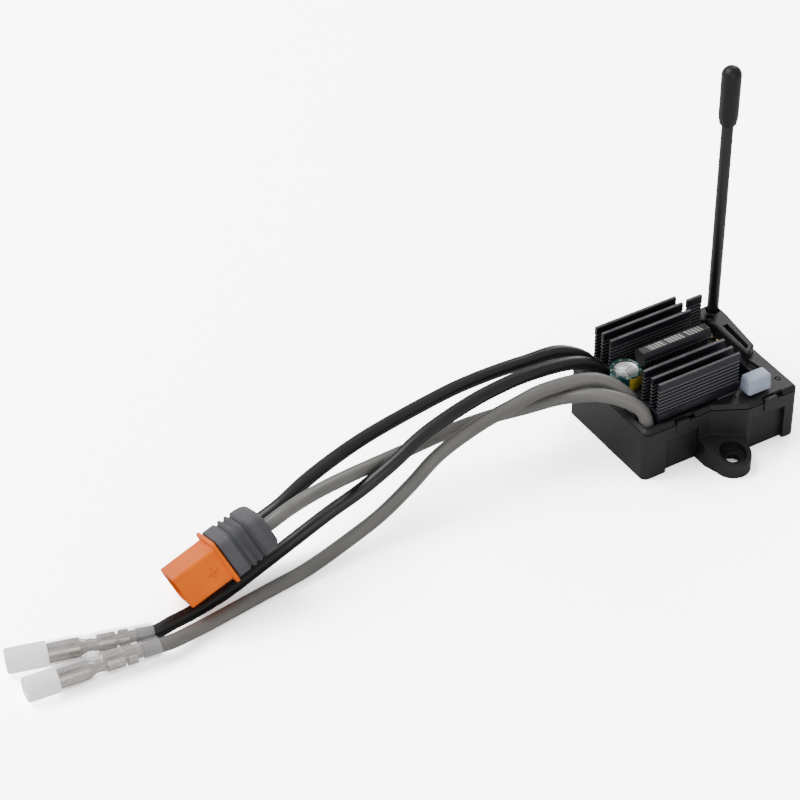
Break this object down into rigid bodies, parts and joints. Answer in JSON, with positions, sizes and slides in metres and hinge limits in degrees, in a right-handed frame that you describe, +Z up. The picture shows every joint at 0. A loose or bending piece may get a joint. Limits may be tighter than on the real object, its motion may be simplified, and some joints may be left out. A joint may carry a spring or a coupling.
{
  "type": "electronic_speed_controller",
  "caption": "Electronic speed controller for a small model car: black case with finned heat sink, slide switch, antenna mast, motor leads with bullet terminals and a battery plug",
  "frame": {"origin": "centre of the case's footprint, between the two screw ears, on the plane it stands on", "axes": "+X from the lead end toward the antenna end, +Y from the switch side toward the back, +Z up out of the cover"},
  "size_m": [0.1769, 0.047, 0.0781],
  "materials": {
    "case_plastic": "satin moulded",
    "antenna_plastic": "satin",
    "antenna_wire": "satin",
    "anodised": "black anodised, satin",
    "board": "solder mask",
    "chip_plastic": "satin",
    "thermal_pad": "matte",
    "can_aluminium": "satin",
    "can_sleeve": "shrink film",
    "rubber": "matte",
    "gold": "bright",
    "tin": "tinned",
    "solder": "bright",
    "milky_plastic": "milky",
    "clear_sleeve": "clear, milky",
    "black_silicone": "satin",
    "grey_silicone": "satin",
    "orange_plastic": "satin",
    "grey_plastic": "satin"
  },
  "bodies": {
    "case": {"antenna_wire": "antenna_wire", "bullet_terminal_1": "tin", "bullet_terminal_2": "tin", "capacitor_bung": "rubber", "capacitor_can": "can_aluminium", "capacitor_sleeve": "can_sleeve", "connector_backshell": "grey_plastic", "connector_contact_negative": "gold", "connector_contact_positive": "gold", "connector_housing": "orange_plastic", "header_pin_1": "gold", "header_pin_2": "gold", "header_pin_3": "gold", "heat_sink": "anodised", "lead_black_1": "black_silicone", "lead_black_2": "black_silicone", "lead_grey_a": "grey_silicone", "lead_grey_b": "grey_silicone", "lower_case": "case_plastic", "main_board": "board", "mosfet_1": "chip_plastic", "mosfet_2": "chip_plastic", "mosfet_3": "chip_plastic", "mosfet_4": "chip_plastic", "receiver_board": "board", "servo_pin_1": "gold", "servo_pin_2": "gold", "servo_pin_3": "gold", "servo_socket": "chip_plastic", "solder_black_1": "solder", "solder_black_2": "solder", "solder_grey_a": "solder", "solder_grey_b": "solder", "switch_body": "chip_plastic", "tact_switch_body": "chip_plastic", "terminal_sleeve_1": "clear_sleeve", "terminal_sleeve_2": "clear_sleeve", "thermal_pad": "thermal_pad", "top_cover": "case_plastic"},
    "power_switch": {"switch_slider": "milky_plastic", "switch_cap": "milky_plastic"},
    "bind_push": {"bind_button": "chip_plastic"},
    "antenna_mast": {"antenna_tube": "antenna_plastic", "antenna_cap": "antenna_plastic"}
  },
  "joints": [
    {"name": "power_switch_slide", "type": "slide", "parent": "case", "child": "power_switch", "axis": [1, 0, 0], "range_m": [0, 0.002]},
    {"name": "bind_button_press", "type": "slide", "parent": "case", "child": "bind_push", "axis": [0, 0, -1], "range_m": [0, 0.00035], "stiffness_N_per_m": 100, "springref_m": -0.0002},
    {"name": "antenna_mast_lift", "type": "slide", "parent": "case", "child": "antenna_mast", "axis": [0, 0, 1], "range_m": [0, 0.0035]}
  ]
}
